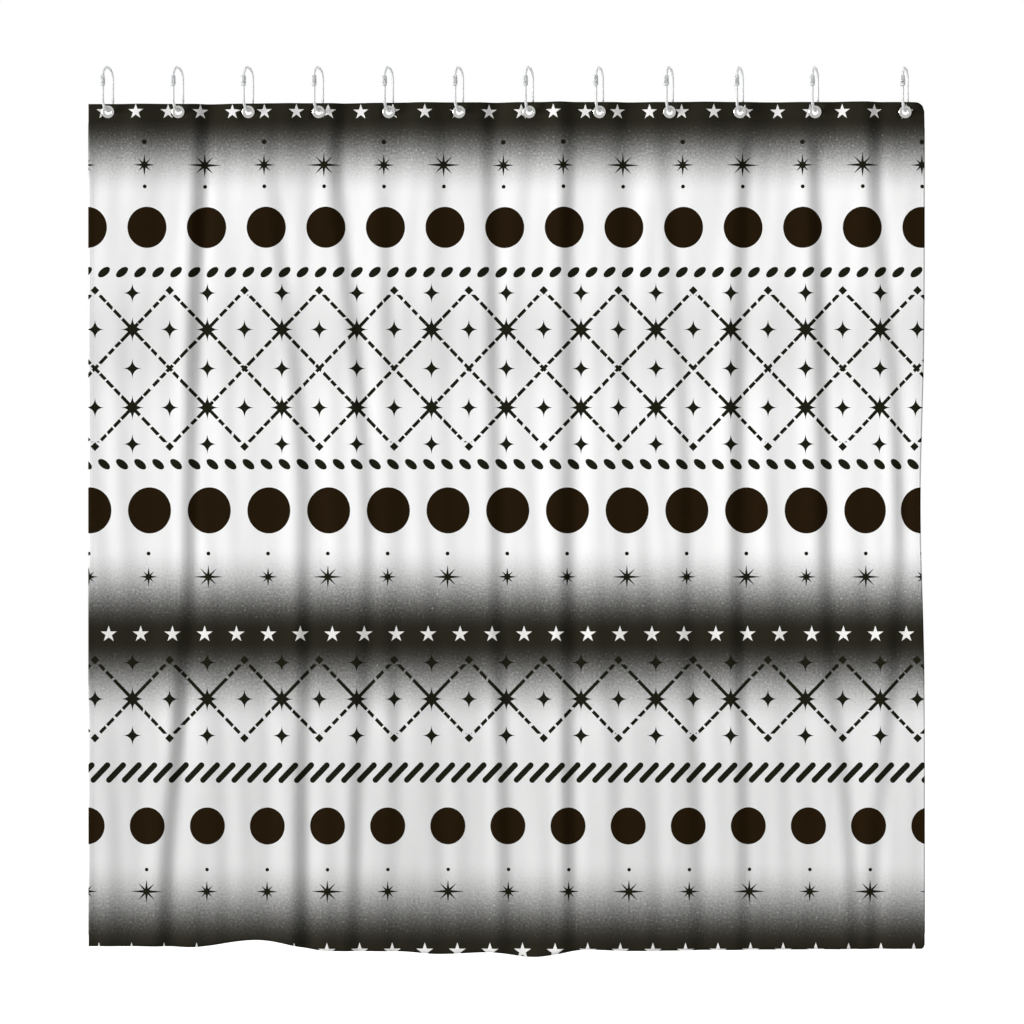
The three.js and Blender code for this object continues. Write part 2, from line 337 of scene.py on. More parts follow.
def dark_marks(tree, place):
    """Every small motif that is printed dark. A row is the u of its first mark, the v of its
    middle and its pitch. A sparkle is its reach across, down and slanted, and its waist."""
    small = (24, 24, 19, 3.6)
    large = (38, 27, 27, 3.8)
    low_small = (24, 23, 18, 3.5)
    low_large = (36, 26, 26, 3.7)

    # in the lowest row the first sparkle is large and the third is small
    low_u, low_v, low_pitch = 127, 1706.5, 131.9
    near, mine = large_places(tree, place, low_u, low_v, low_pitch)
    across = add(tree, SPLIT, {}, place)
    past_second = add(tree, MATH, {"operation": "GREATER_THAN"}, across, 330)
    first_large = add(tree, VECTOR, {"operation": "SUBTRACT"}, place, (low_u, low_v, 0))
    rows = [
        dot_row(tree, place, 122.8, 83, 130.8, 5.2),
        sparkle_row(tree, place, 122.8, 133, 130.8, small, large),
        disc(tree, in_row(tree, place, 123.4, 179.5, 130.8), 4.2, 4.2),
        disc(tree, turned(tree, in_row(tree, place, 34.0, 365, 39.5), 38), 15.4, 8.2),
        lattice(tree, place, 404.5, 4, 18),
        disc(tree, turned(tree, in_row(tree, place, 34.0, 781, 39.5), -38), 15.4, 8.2),
        disc(tree, in_row(tree, place, 131.4, 974.5, 130.8), 4.2, 4.2),
        sparkle_row(tree, place, 131.4, 1025, 130.8, (21, 21, 17, 3.4), (33, 26, 26, 3.6)),
        lattice(tree, place, 1205, 2, 36),
        stroke(tree, turned(tree, in_leaning_row(tree, place, 25.9, 1449, 34.3, 46), 46), 57, 12.6),
        disc(tree, in_row(tree, place, 127.5, 1659, 131.9), 3.9, 3.9),
        sparkle(tree, in_row(tree, place, low_u, low_v, low_pitch), *low_small),
        both(tree, sparkle(tree, near, *low_large), mine, past_second),
        sparkle(tree, first_large, *low_large),
    ]
    return either(tree, *rows)


def discs(tree, place):
    rows = [
        disc(tree, in_row(tree, place, 128.1, 268, 130.4), 42.7, 44.5),
        disc(tree, in_row(tree, place, 133.6, 881, 130.6), 47.1, 49.9),
        disc(tree, in_row(tree, place, 128.6, 1564.5, 131.5), 38.3, 40.1),
    ]
    return either(tree, *rows)


def white_stars(tree, place):
    rows = [
        star(tree, in_row(tree, place, 33.9, 17.5, 70.2), 17.2),
        star(tree, in_row(tree, place, 44.2, 1149, 69.9), 18.5),
        star(tree, in_row(tree, place, 22.6, 1836.5, 71.3), 19.5),
    ]
    return either(tree, *rows)


def fade(tree, v, centre, half, length):
    """Nought inside a dark band, rising to one where its fade ends."""
    off = add(tree, MATH, {"operation": "SUBTRACT"}, v, centre)
    off = add(tree, MATH, {"operation": "ABSOLUTE"}, off)
    off = add(tree, MATH, {"operation": "SUBTRACT"}, off, half)
    share = add(tree, MATH, {"operation": "DIVIDE", "use_clamp": True}, off, length)
    share = add(tree, MATH, {"operation": "POWER"}, share, 0.75)
    return add(tree, "ShaderNodeMapRange", {"interpolation_type": "SMOOTHSTEP"}, share)


def print_parts(tree):
    """Place in millimetres, ground lightness with its painted shade towards the hem, and the masks
    of dark marks, discs and stars.
    """
    flat = add(tree, "ShaderNodeUVMap", {"uv_map": "Cloth"})
    place = add(tree, VECTOR, {"operation": "SCALE"}, flat, Scale=1000)
    down = add(tree, SPLIT, {}, place, out=1)
    bands = [
        fade(tree, down, 0, 34, 169),
        fade(tree, down, 1153, 12, 187),
        fade(tree, down, 1829, 5, 190),
    ]
    light = bands[0]
    for band in bands[1:]:
        light = add(tree, MATH, {"operation": "MINIMUM"}, light, band)
    # spray grain of 5 mm, strongest half way up each fade, with a few light specks low down
    grain = add(tree, "ShaderNodeTexNoise", {}, place, Scale=0.2, Detail=3, Roughness=0.75)
    left = add(tree, MATH, {"operation": "SUBTRACT"}, 1, light)
    half_way = add(tree, MATH, {"operation": "MULTIPLY"}, light, left)
    speck = add(tree, MATH, {"operation": "SUBTRACT", "use_clamp": True}, grain, 0.62)
    speck = both(tree, speck, half_way, left)
    centred = add(tree, MATH, {"operation": "SUBTRACT"}, grain, 0.5)
    centred = add(tree, MATH, {"operation": "MULTIPLY"}, centred, half_way)
    light = add(tree, MATH, {"operation": "MULTIPLY_ADD", "use_clamp": True}, centred, 2.3, light)
    light = add(tree, MATH, {"operation": "MULTIPLY_ADD", "use_clamp": True}, speck, 20, light)
    # a pale grey haze behind the wide lattice
    haze = fade(tree, down, 512, 40, 130)
    haze = add(tree, MATH, {"operation": "MULTIPLY_ADD"}, haze, 0.055, 0.945)
    light = add(tree, MATH, {"operation": "MULTIPLY"}, light, haze)
    # painted shade: the ground is darkened a little towards the hem, standing in for less light
    # falling low on the cloth
    low = {"interpolation_type": "SMOOTHSTEP"}
    low = add(tree, "ShaderNodeMapRange", low, down, 1000, 1500, 1.0, 0.905)
    light = add(tree, MATH, {"operation": "MULTIPLY"}, light, low)
    # the printed tone is even to the eye, so it is raised to the screen's power
    lifted = add(tree, MATH, {"operation": "MULTIPLY_ADD"}, light, 0.93, 0.07)
    tone = add(tree, MATH, {"operation": "POWER"}, lifted, 2.2)
    return place, tone, dark_marks(tree, place), discs(tree, place), white_stars(tree, place)


def weave(tree, place, strength):
    """A plain weave as bump. Real threads are 0.3 mm apart: these are 1.4 mm, so that they show."""
    rows = add(tree, VECTOR, {"operation": "SCALE"}, place, Scale=math.tau / 1.4)
    rows = add(tree, VECTOR, {"operation": "SINE"}, rows)
    across = add(tree, SPLIT, {}, rows)
    down = add(tree, SPLIT, {}, rows, out=1)
    height = add(tree, MATH, {"operation": "MULTIPLY"}, across, down)
    slub = add(tree, "ShaderNodeTexNoise", {}, place, Scale=0.15, Detail=4)
    height = add(tree, MATH, {"operation": "ADD"}, height, slub)
    return add(tree, "ShaderNodeBump", {}, Strength=strength, Distance=0.0002, Height=height)


def blend_colours(tree, share, dark, pale):
    """Mixes two colours, or sockets, by a share."""
    mixed = add(tree, "ShaderNodeMix", {"data_type": "RGBA"}, share, out=2)
    for slot, colour in ((6, dark), (7, pale)):
        if isinstance(colour, bpy.types.NodeSocket):
            tree.links.new(colour, mixed.node.inputs[slot])
        else:
            mixed.node.inputs[slot].default_value = rgb(colour)
    return mixed


def printed_polyester():
    """Plain-woven polyester with a transfer print: matt, ink sunk into the threads."""
    made, tree, shader = new_material("printed_polyester")
    place, tone, marks, rounds, stars = print_parts(tree)
    # the ground's tone carries the painted shade towards the hem
    ground = blend_colours(tree, tone, "#201e14", "#e6e6e6")
    inked = blend_colours(tree, marks, ground, "#18180e")
    inked = blend_colours(tree, rounds, inked, "#1e1304")
    starred = blend_colours(tree, stars, inked, "#dedddb")
    tree.links.new(starred, shader.inputs["Base Color"])
    tree.links.new(weave(tree, place, 0.2), shader.inputs["Normal"])
    shader.inputs["Roughness"].default_value = 0.85
    shader.inputs["Specular IOR Level"].default_value = 0.05
    return made


def polyester_reverse():
    """The unprinted side: white threads, with the print showing through as a soft grey."""
    made, tree, shader = new_material("polyester_reverse")
    place, tone, marks, rounds, stars = print_parts(tree)
    # the tone carries the painted shade towards the hem, so the show-through greys there too
    dark = add(tree, MATH, {"operation": "SUBTRACT"}, 1, tone)
    dark = either(tree, dark, marks, rounds)
    clear = add(tree, MATH, {"operation": "SUBTRACT"}, 1, stars)
    soft = add(tree, MATH, {"operation": "MULTIPLY"}, both(tree, dark, clear), 0.55)
    ghost = blend_colours(tree, soft, "#e9e9e6", "#6f6d68")
    tree.links.new(ghost, shader.inputs["Base Color"])
    tree.links.new(weave(tree, place, 0.25), shader.inputs["Normal"])
    shader.inputs["Roughness"].default_value = 0.85
    shader.inputs["Specular IOR Level"].default_value = 0.05
    return made


def plain_material(name, colour, roughness, metallic=0.0, grain=None, **more):
    """A shader with a fine mottle in its roughness and bump, from grain in millimetres."""
    made, tree, shader = new_material(name)
    shader.inputs["Base Color"].default_value = rgb(colour)
    shader.inputs["Roughness"].default_value = roughness
    shader.inputs["Metallic"].default_value = metallic
    for key, value in more.items():
        shader.inputs[key.replace("_", " ")].default_value = value
    where = add(tree, "ShaderNodeTexCoord", {}, out=3)
    noise = add(tree, "ShaderNodeTexNoise", {}, where, Scale=1000 / grain, Detail=3)
    rough = add(
        tree, "ShaderNodeMapRange", {}, noise, 0.3, 0.7, roughness * 0.8, roughness * 1.2,
    )
    tree.links.new(rough, shader.inputs["Roughness"])
    bump = add(tree, "ShaderNodeBump", {}, Strength=0.12, Distance=0.0002, Height=noise)
    tree.links.new(bump, shader.inputs["Normal"])
    return made


def milky_plastic():
    """Moulded natural polypropylene: milky, softly see-through, a satin skin."""
    return plain_material(
        "moulded_polypropylene", "#b9bbbc", 0.4, grain=3.0, IOR=1.49,
        Subsurface_Weight=1.0, Subsurface_Scale=0.02, Subsurface_Radius=(1, 1, 0.95),
    )


def nickel():
    """Pressed brass with bright nickel plate: mirror-like, with faint press marks."""
    return plain_material("nickel_plate", "#d8d8d5", 0.2, metallic=1.0, grain=4.0)


def bonded_tape():
    """Non-woven polyester stiffener."""
    return plain_material("nonwoven_tape", "#f0efe9", 0.95, grain=1.2)


# ---- How the cloth hangs ----

# Each fold: where its steep side is at the top, half way down and at the bottom, in metres from
# the middle, and its depth at the top and the bottom, in millimetres.
FOLDS = [
    (-0.665, -0.687, -0.741, 10.5, 9.5),
    (-0.513, -0.439, -0.448, 5.0, 10.0),
    (-0.374, -0.301, -0.333, 8.0, 6.5),
    (-0.275, -0.240, -0.255, 5.0, 2.0),
    (-0.040, -0.023, -0.005, 8.0, 5.5),
    (0.129, 0.133, 0.133, 9.0, 8.0),
    (0.250, 0.246, 0.235, 3.5, 2.0),
    (0.342, 0.385, 0.411, 6.0, 4.0),
    (0.515, 0.498, 0.515, 8.0, 7.0),
    (0.663, 0.689, 0.750, 10.5, 7.0),
    (0.793, 0.854, 0.790, 8.0, 6.0),
]
STEEP = 0.042
BROAD = 0.150
FULLNESS = 1.7

# How far the bottom edge is cut below its mean line, in millimetres, by the share of the width
EDGE_LINE = [
    (0.0, -4), (0.085, -4), (0.12, -2), (0.2, -18), (0.29, 6), (0.37, 7), (0.42, 13), (0.48, 9),
    (0.53, 19), (0.6, 3), (0.65, 6), (0.75, 4), (1.0, 1),
]
TOP_CORNER = 20 * MM
LOW_CORNER = 9 * MM


def ease(t):
    t = np.clip(t, 0, 1)
    return t * t * (3 - 2 * t)


def through(points, t):
    """A smooth line through given points."""
    xs = [p[0] for p in points]
    ys = [p[1] for p in points]
    i = np.clip(np.searchsorted(xs, t) - 1, 0, len(xs) - 2)
    xs, ys = np.array(xs), np.array(ys)
    share = (t - xs[i]) / (xs[i + 1] - xs[i])
    return ys[i] + (ys[i + 1] - ys[i]) * ease(share)


def corner(u, radius):
    """How much a rounded corner at the right edge takes off."""
    into = np.clip(u - (FLAT_WIDTH - radius), 0, radius)
    return radius - np.sqrt(radius ** 2 - into ** 2)


def trim(u, v):
    """A place on the flat cloth, with its top and bottom edges as they are cut."""
    top = 1.5 * MM - 4.5 * MM * ease(u / 1.1) + corner(u, TOP_CORNER)
    low = through(EDGE_LINE, np.clip(u / FLAT_WIDTH, 0, 1)) * MM - corner(u, LOW_CORNER)
    near_top = np.clip(1 - v / 0.12, 0, 1)
    near_low = np.clip(1 - (FLAT_LENGTH - v) / 0.15, 0, 1)
    return v + top * near_top + low * near_low


def folds(x, down):
    """How far back the folds carry the cloth, down being the share of the drop."""
    back = np.zeros_like(x)
    for top, mid, low, depth_top, depth_low in FOLDS:
        upper = top + (mid - top) * ease(down * 2)
        at = upper + (low - mid) * ease(down * 2 - 1)
        depth = depth_top + (depth_low - depth_top) * down
        steep = ease((x - at) / STEEP + 0.5)
        broad = ease((x - at) / BROAD + 0.5)
        back += depth * MM * (steep - broad)
    return back


def drape(u, v):
    """Where a point of the flat cloth hangs: u across from the left edge, v down from the top."""
    x = LEFT + u * HUNG_WIDTH / FLAT_WIDTH
    down = np.clip(v / FLAT_LENGTH, 0, 1)
    y = FULLNESS * folds(x, down)
    y += 2.5 * MM * np.sin(x * 9.1 + 1.3 + 1.5 * down) * down
    # faint creases of 50 to 90 mm that wander as they go down
    y += 0.6 * MM * np.sin(x * 121 + 4 * np.sin(down * 5)) * np.sin(x * 13 + down * 7)
    y += 0.9 * MM * np.sin(x * 74 - 3 * down + 2) * np.sin(x * 7 - down * 5)
    # the edge between two eyelets bows, to the front and to the back by turns
    for i, (a, b) in enumerate(zip(EYELETS, EYELETS[1:])):
        share = np.clip((x - a.x) / (b.x - a.x), 0, 1)
        bow = np.sin(np.pi * share) ** 2
        side = -1 if i % 2 == 0 else 1
        y += side * 6 * MM * bow * np.exp(-((v / 0.22) ** 2))
    # flat and still round each eyelet
    for eyelet in EYELETS:
        away = np.hypot(x - eyelet.x, (v - (TOP - eyelet.z)) / 1.5)
        y *= 1 - np.exp(-((away / 0.045) ** 4))
    # the free corner beyond the last eyelet leans back, and the right edge draws in half way down
    y += 5 * MM * ease((u - (FLAT_WIDTH - 0.045)) / 0.045) * ease((0.05 - v) / 0.05)
    x = x - 9 * MM * ease((u - 1.68) / 0.149) * np.exp(-(((v - 0.87) / 0.25) ** 2))
    return np.stack([x, y, TOP - v], -1)


def on_cloth(u, v, behind):
    """A point of the cloth, moved square to it by a distance behind its middle."""
    step = 1 * MM
    across = drape(u + step, v) - drape(u - step, v)
    downward = drape(u, v + step) - drape(u, v - step)
    square = np.cross(downward, across)
    square /= np.linalg.norm(square, axis=-1, keepdims=True)
    return drape(u, v) - square * np.asarray(behind)[..., None]


# ---- Making pieces ----

SHARP = math.radians(50)


def shown(name, bm, material):
    """A named object at the origin, from a bmesh, with one material or a list of them."""
    mesh = bpy.data.meshes.new(name)
    bm.to_mesh(mesh)
    bm.free()
    made = bpy.data.objects.new(name, mesh)
    bpy.context.scene.collection.objects.link(made)
    for m in material if isinstance(material, (list, tuple)) else [material]:
        mesh.materials.append(m)
    mesh.shade_smooth()
    mesh.set_sharp_from_angle(angle=SHARP)
    return made


def shares_with_fine_ends(count):
    """Shares from 0 to 1 with an eighth as much between them near each end."""
    part, steps = 0.0135, 8
    fine = np.linspace(0, part, steps + 1)
    main = np.linspace(part, 1 - part, count - 2 * steps + 1)
    return np.concatenate([fine[:-1], main, 1 - fine[-2::-1]])


def cloth_grid(columns, rows, place):
    """A grid whose corners place() lays on the cloth. place takes shares of the width and depth
    and gives u, v and the distance behind the cloth. The flat place is kept as a UV map."""
    bm = bmesh.new()
    bmesh.ops.create_grid(bm, x_segments=columns, y_segments=rows, size=0.5)
    shares = np.array([(v.co.x + 0.5, 0.5 - v.co.y) for v in bm.verts])
    even = np.linspace(0, 1, columns + 1)
    across = np.interp(shares[:, 0], even, shares_with_fine_ends(columns))
    u, v, behind = place(across, shares[:, 1])
    v = trim(u, v)
    at = on_cloth(u, v, behind)
    flat = {vert: (u[i], v[i]) for i, vert in enumerate(bm.verts)}
    for i, vert in enumerate(bm.verts):
        vert.co = at[i]
    layer = bm.loops.layers.uv.new("Cloth")
    for face in bm.faces:
        for loop in face.loops:
            loop[layer].uv = flat[loop.vert]
    return bm


def face_towards(bm, side):
    """Turns the faces so that most look along Y if side is 1, and along -Y if it is -1."""
    bm.normal_update()
    if side * sum(f.normal.y * f.calc_area() for f in bm.faces) < 0:
        bmesh.ops.reverse_faces(bm, faces=bm.faces[:])


def cut_holes(bm):
    """A round hole behind each eyelet's flange."""
    for eyelet in EYELETS:
        def off(p):
            return math.hypot(p.x - eyelet.x, p.z - eyelet.z)

        inside = [f for f in bm.faces if off(f.calc_center_median()) < CLOTH_HOLE]
        rim = {v for f in inside for v in f.verts}
        bmesh.ops.delete(bm, geom=inside, context="FACES")
        for v in rim:
            if v.is_valid:
                reach = CLOTH_HOLE / max(off(v.co), 1e-6)
                v.co.x = eyelet.x + (v.co.x - eyelet.x) * reach
                v.co.z = eyelet.z + (v.co.z - eyelet.z) * reach


def thicken(piece, thickness, back_material=0):
    made = piece.modifiers.new("thickness", "SOLIDIFY")
    made.thickness = thickness
    made.offset = 0
    made.material_offset = back_material
    made.material_offset_rim = 0
    return made


def hangs(piece):
    """Puts a cloth piece, with a mesh of its own, on the curtain's body, which gathers towards the
    first eyelet as the curtain is drawn.
    """
    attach(piece, "curtain")
    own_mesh(piece)
    return piece


def panel(printed, reverse):
    def place(s, t):
        return s * FLAT_WIDTH, t * FLAT_LENGTH, np.zeros_like(s)

    bm = cloth_grid(CLOTH_COLUMNS, CLOTH_ROWS, place)
    face_towards(bm, -1)
    cut_holes(bm)
    piece = shown("panel_cloth", bm, [printed, reverse])
    thicken(piece, CLOTH_THICKNESS, 1)
    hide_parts("curtain_panel")
    return hangs(piece)


def hem_section(depth, behind):
    """Across a hem from the panel's edge: a rolled fold, then the turned-back strip, and the
    narrow turn at its raw edge. Each point is a distance in from the edge and one behind."""
    turn = behind / 2
    roll = [(-turn * math.sin(a), turn * (1 - math.cos(a))) for a in np.linspace(0, math.pi, 7)]
    strip = [(depth * k / 6, behind) for k in range(1, 7)]
    tuck = [(depth + 0.3 * MM, behind - 0.15 * MM), (depth, behind - 0.35 * MM)]
    return np.array(roll + strip + tuck)


def hem(node, section, along, printed, place):
    """place takes a share along the hem, and a distance in from the edge, and gives u and v."""
    last = len(section) - 1

    def lay(s, t):
        inwards, behind = (np.interp(t * last, range(last + 1), part) for part in section.T)
        return *place(s, inwards), behind

    bm = cloth_grid(along, last, lay)
    face_towards(bm, 1)
    if node == "header_fold":
        cut_holes(bm)
    piece = shown(f"{node}_cloth", bm, printed)
    thicken(piece, HEM_THICKNESS)
    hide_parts(node)
    return hangs(piece)


def hems(printed):
    header = hem_section(HEADER_DEPTH, HEADER_BEHIND)
    bottom = hem_section(BOTTOM_HEM_DEPTH, HEM_BEHIND)
    side = hem_section(SIDE_HEM_WIDTH, HEM_BEHIND)
    high = HEADER_DEPTH + 1 * MM
    low = FLAT_LENGTH - BOTTOM_HEM_DEPTH - 1 * MM
    return [
        hem("header_fold", header, CLOTH_COLUMNS, printed,
            lambda s, d: (s * FLAT_WIDTH, d)),
        hem("bottom_hem", bottom, CLOTH_COLUMNS, printed,
            lambda s, d: (s * FLAT_WIDTH, FLAT_LENGTH - d)),
        hem("left_hem", side, SIDE_HEM_ROWS, printed,
            lambda s, d: (d, high + s * (low - high))),
        hem("right_hem", side, SIDE_HEM_ROWS, printed,
            lambda s, d: (FLAT_WIDTH - d, high + s * (low - high))),
    ]


def tape(material):
    def place(s, t):
        return s * FLAT_WIDTH, TAPE_FROM_TOP + t * TAPE_DEPTH, np.full_like(s, TAPE_BEHIND)

    bm = cloth_grid(CLOTH_COLUMNS, TAPE_ROWS, place)
    cut_holes(bm)
    piece = shown("header_tape_cloth", bm, material)
    thicken(piece, TAPE_THICKNESS)
    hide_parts("header_tape")
    return hangs(piece)


# ---- Stitches ----

STITCH = 3.2 * MM
STITCH_GAP = 0.9 * MM
STITCH_INSET = 2.5 * MM
THREAD = 0.25 * MM


def stitches(name, materials, lines):
    """Lock stitches along lines on the cloth, shown on both of its faces. A line is its length, a
    function from a distance along it to u and v, and how far behind the cloth its back face is.
    The thread was sewn before printing, so it carries the print."""
    bm = bmesh.new()
    layer = bm.loops.layers.uv.new("Cloth")
    for length, place, behind in lines:
        count = int(length / (STITCH + STITCH_GAP))
        starts = (np.arange(count) + 0.5) * length / count
        u, v = place(starts)
        v = trim(u, v)
        for side, lift in enumerate((-CLOTH_THICKNESS / 2 - THREAD / 3, behind + THREAD / 2)):
            ends = []
            for k in (-0.5, 0.5):
                end_u, end_v = place(starts + STITCH * k)
                ends.append(on_cloth(end_u, trim(end_u, end_v), np.full_like(starts, lift)))
            for i, (a, b) in enumerate(zip(*ends)):
                a, b = Vector(a), Vector(b)
                turn = (b - a).to_track_quat("Z", "Y").to_matrix().to_4x4()
                made = bmesh.ops.create_cone(
                    bm, cap_ends=True, segments=5, radius1=THREAD, radius2=THREAD,
                    depth=(b - a).length, matrix=Matrix.Translation((a + b) / 2) @ turn,
                )
                for face in {f for vert in made["verts"] for f in vert.link_faces}:
                    face.material_index = side
                    for loop in face.loops:
                        loop[layer].uv = (u[i], v[i])
    piece = shown(name, bm, materials)
    return hangs(piece)


def all_stitches(printed, reverse):
    def across(v):
        return lambda d: (d, np.full_like(d, v))

    def down(u):
        return lambda d: (np.full_like(d, u), HEADER_DEPTH + d)

    tall = FLAT_LENGTH - HEADER_DEPTH - BOTTOM_HEM_DEPTH
    seams = {
        "header_stitches": [(FLAT_WIDTH, across(HEADER_DEPTH - STITCH_INSET), HEADER_BEHIND)],
        "bottom_stitches": [
            (FLAT_WIDTH, across(FLAT_LENGTH - BOTTOM_HEM_DEPTH + STITCH_INSET), HEM_BEHIND),
        ],
        "side_stitches": [
            (tall, down(SIDE_HEM_WIDTH - STITCH_INSET), HEM_BEHIND),
            (tall, down(FLAT_WIDTH - SIDE_HEM_WIDTH + STITCH_INSET), HEM_BEHIND),
        ],
    }
    return [stitches(name, [printed, reverse], lines) for name, lines in seams.items()]


# ---- Eyelets ----

BORE_RADIUS = 7 * MM
BARREL_RADIUS = 7.6 * MM
BARREL_END = 2.6 * MM
FLANGE_BACK = -0.55 * MM
LIP_MIDDLE = (8.5 * MM, 3.3 * MM)
LIP_RADII = (1.1 * MM, 0.62 * MM)
WASHER_HOLE = 7.9 * MM
WASHER_EDGE = 2 * MM


def ring_of(bm, section, centre):
    """A closed section of (radius, y), spun round the Y axis through a centre."""
    verts = [bm.verts.new((r, y, 0)) for r, y in section]
    edges = [bm.edges.new((a, b)) for a, b in zip(verts, verts[1:] + verts[:1])]
    bmesh.ops.spin(
        bm, geom=[*verts, *edges], cent=(0, 0, 0), axis=(0, 1, 0), angle=math.tau,
        steps=48, use_merge=True,
    )
    bmesh.ops.remove_doubles(bm, verts=bm.verts[:], dist=1e-6)
    bmesh.ops.recalc_face_normals(bm, faces=bm.faces[:])
    bmesh.ops.translate(bm, verts=bm.verts[:], vec=centre)


def rounded(centre, radii, start, end, steps):
    """Points of part of an ellipse, with angles in degrees."""
    return [
        (centre[0] + radii[0] * math.cos(math.radians(a)),
         centre[1] + radii[1] * math.sin(math.radians(a)))
        for a in np.linspace(start, end, steps)
    ]


def eyelet_section(node):
    """Crowned flange, thin barrel and the lip curled out at the back."""
    low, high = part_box(node)
    outer = (high.x - low.x) / 2
    crown = rounded(
        ((BORE_RADIUS + outer) / 2, FLANGE_BACK),
        ((outer - BORE_RADIUS) / 2, FLANGE_BACK - low.y), 180, 360, 17,
    )
    lip = rounded(LIP_MIDDLE, LIP_RADII, -30, 180, 13)
    return [
        *crown, (outer, FLANGE_BACK), (BARREL_RADIUS, FLANGE_BACK), (BARREL_RADIUS, BARREL_END),
        *lip, (BORE_RADIUS, BARREL_END),
    ]


def washer_section(node):
    """A flat washer with its outer edge rounded."""
    low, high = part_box(node)
    outer = (high.x - low.x) / 2
    edge = (WASHER_EDGE, high.y - low.y)
    dome = rounded((outer - WASHER_EDGE, low.y), edge, 0, 90, 7)
    return [(WASHER_HOLE, low.y), (outer, low.y), *dome[1:], (WASHER_HOLE, high.y)]


def eyelets(metal):
    for n, centre in zip(RINGS, EYELETS):
        body = "curtain" if n == "01" else f"eyelet_set_{n}"
        middle_line = Vector((centre.x, 0, centre.z))
        for kind, section, slot in (
            ("eyelet", eyelet_section, "eyelet_metal"),
            ("washer", washer_section, "washer_metal"),
        ):
            bm = bmesh.new()
            ring_of(bm, section(f"{kind}_{n}"), middle_line)
            piece = shown(f"{kind}_{n}_plated", bm, metal)
            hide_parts(f"{kind}_{n}")
            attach(piece, body)


# ---- Snap rings ----

WIRE = 3.1 * MM
RING_HALF = 23.5 * MM
RING_TURN = math.radians(-20)
ARCH_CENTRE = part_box("hook_arm_01")[1].z - WIRE - RING_HALF
BEND_CENTRE = -45.55 * MM
CLASP_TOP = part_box("hook_01")[1].z
CLASP_HEIGHT = 22 * MM
CLASP_FLOOR = 6 * MM
CLASP_SIDE_WALL = 2.4 * MM
CLASP_FRONT_WALL = 1.8 * MM
CLASP_REACH = 1 * MM
CLASP_CORNER = 2.6 * MM
POCKET_GAP = 0.3 * MM
TIP_GAP = 0.4 * MM
SIDES = 20


def tube_start(bm, y, z):
    """A round section of the wire, lying flat."""
    made = bmesh.ops.create_circle(bm, cap_ends=False, segments=SIDES, radius=WIRE)
    bmesh.ops.translate(bm, verts=made["verts"], vec=(0, y, z))
    edges = {e for v in made["verts"] for e in v.link_edges}
    return list(edges)


def go_straight(bm, edges, distance, steps=4):
    for _ in range(steps):
        made = bmesh.ops.extrude_edge_only(bm, edges=edges)["geom"]
        verts = [g for g in made if isinstance(g, bmesh.types.BMVert)]
        edges = [g for g in made if isinstance(g, bmesh.types.BMEdge)]
        bmesh.ops.translate(bm, verts=verts, vec=(0, 0, distance / steps))
    return edges


def go_round(bm, edges, centre_z, angle, steps=24):
    made = bmesh.ops.spin(
        bm, geom=edges, cent=(0, 0, centre_z), axis=(1, 0, 0), angle=angle, steps=steps,
    )["geom_last"]
    return [g for g in made if isinstance(g, bmesh.types.BMEdge)]


def close_end(bm, edges, round_off=0.0):
    """Caps an open end and, if asked, rounds its rim."""
    face = bmesh.ops.contextual_create(bm, geom=edges)["faces"][0]
    if round_off:
        bmesh.ops.bevel(
            bm, geom=face.edges[:], offset=round_off, segments=4, profile=0.5,
            affect="EDGES", material=-1, clamp_overlap=True,
        )


def hook_mesh():
    bm = bmesh.new()
    bottom = CLASP_TOP - CLASP_HEIGHT
    edges = tube_start(bm, -RING_HALF, bottom + 3 * MM)
    first = list(edges)
    edges = go_straight(bm, edges, BEND_CENTRE - bottom - 3 * MM, 6)
    edges = go_round(bm, edges, BEND_CENTRE, math.pi)
    close_end(bm, edges)
    close_end(bm, first)
    bmesh.ops.recalc_face_normals(bm, faces=bm.faces[:])
    return bm


def raise_face(bm, face, height):
    """Extrudes a face upwards and gives the new top face."""
    made = bmesh.ops.extrude_face_region(bm, geom=[face])["geom"]
    verts = [g for g in made if isinstance(g, bmesh.types.BMVert)]
    bmesh.ops.translate(bm, verts=verts, vec=(0, 0, height))
    return next(g for g in made if isinstance(g, bmesh.types.BMFace))


def cup_mesh():
    """The clasp: a cup round the arm's tip, open at its back, with rounded edges."""
    bm = bmesh.new()
    pocket = WIRE + POCKET_GAP
    half = pocket + CLASP_SIDE_WALL
    inner = -RING_HALF - pocket
    front = inner - CLASP_FRONT_WALL
    back = -RING_HALF + CLASP_REACH
    bottom = CLASP_TOP - CLASP_HEIGHT
    radii = (CLASP_CORNER, CLASP_CORNER)
    right = rounded((half - CLASP_CORNER, front + CLASP_CORNER), radii, 0, -90, 6)
    left = rounded((CLASP_CORNER - half, front + CLASP_CORNER), radii, -90, -180, 6)
    outline = [(half, back), *right, *left, (-half, back), (-pocket, back), (pocket, back)]
    base = bm.faces.new([bm.verts.new((x, y, bottom)) for x, y in outline])
    lid = raise_face(bm, base, CLASP_FLOOR)

    # the lid is split into the walls' plan, which is raised, and the pocket's floor
    level = bottom + CLASP_FLOOR
    ring = [
        min(lid.verts, key=lambda v: (v.co - Vector((x, y, level))).length) for x, y in outline
    ]
    slot = ring[-2:]
    ring = ring[:-2]
    bmesh.ops.delete(bm, geom=[lid], context="FACES_ONLY")
    deep = [bm.verts.new((x, inner, level)) for x in (-pocket, pocket)]
    walls = bm.faces.new([*ring, slot[0], *deep, slot[1]])
    bm.faces.new([slot[0], slot[1], deep[1], deep[0]])
    raise_face(bm, walls, CLASP_HEIGHT - CLASP_FLOOR)
    bmesh.ops.recalc_face_normals(bm, faces=bm.faces[:])
    rims = [
        e for e in bm.edges
        if len(e.link_faces) == 2 and e.calc_face_angle(0) > math.radians(60)
    ]
    bmesh.ops.bevel(
        bm, geom=rims, offset=0.5 * MM, segments=2, profile=0.5, affect="EDGES", material=-1,
        clamp_overlap=True,
    )
    return bm


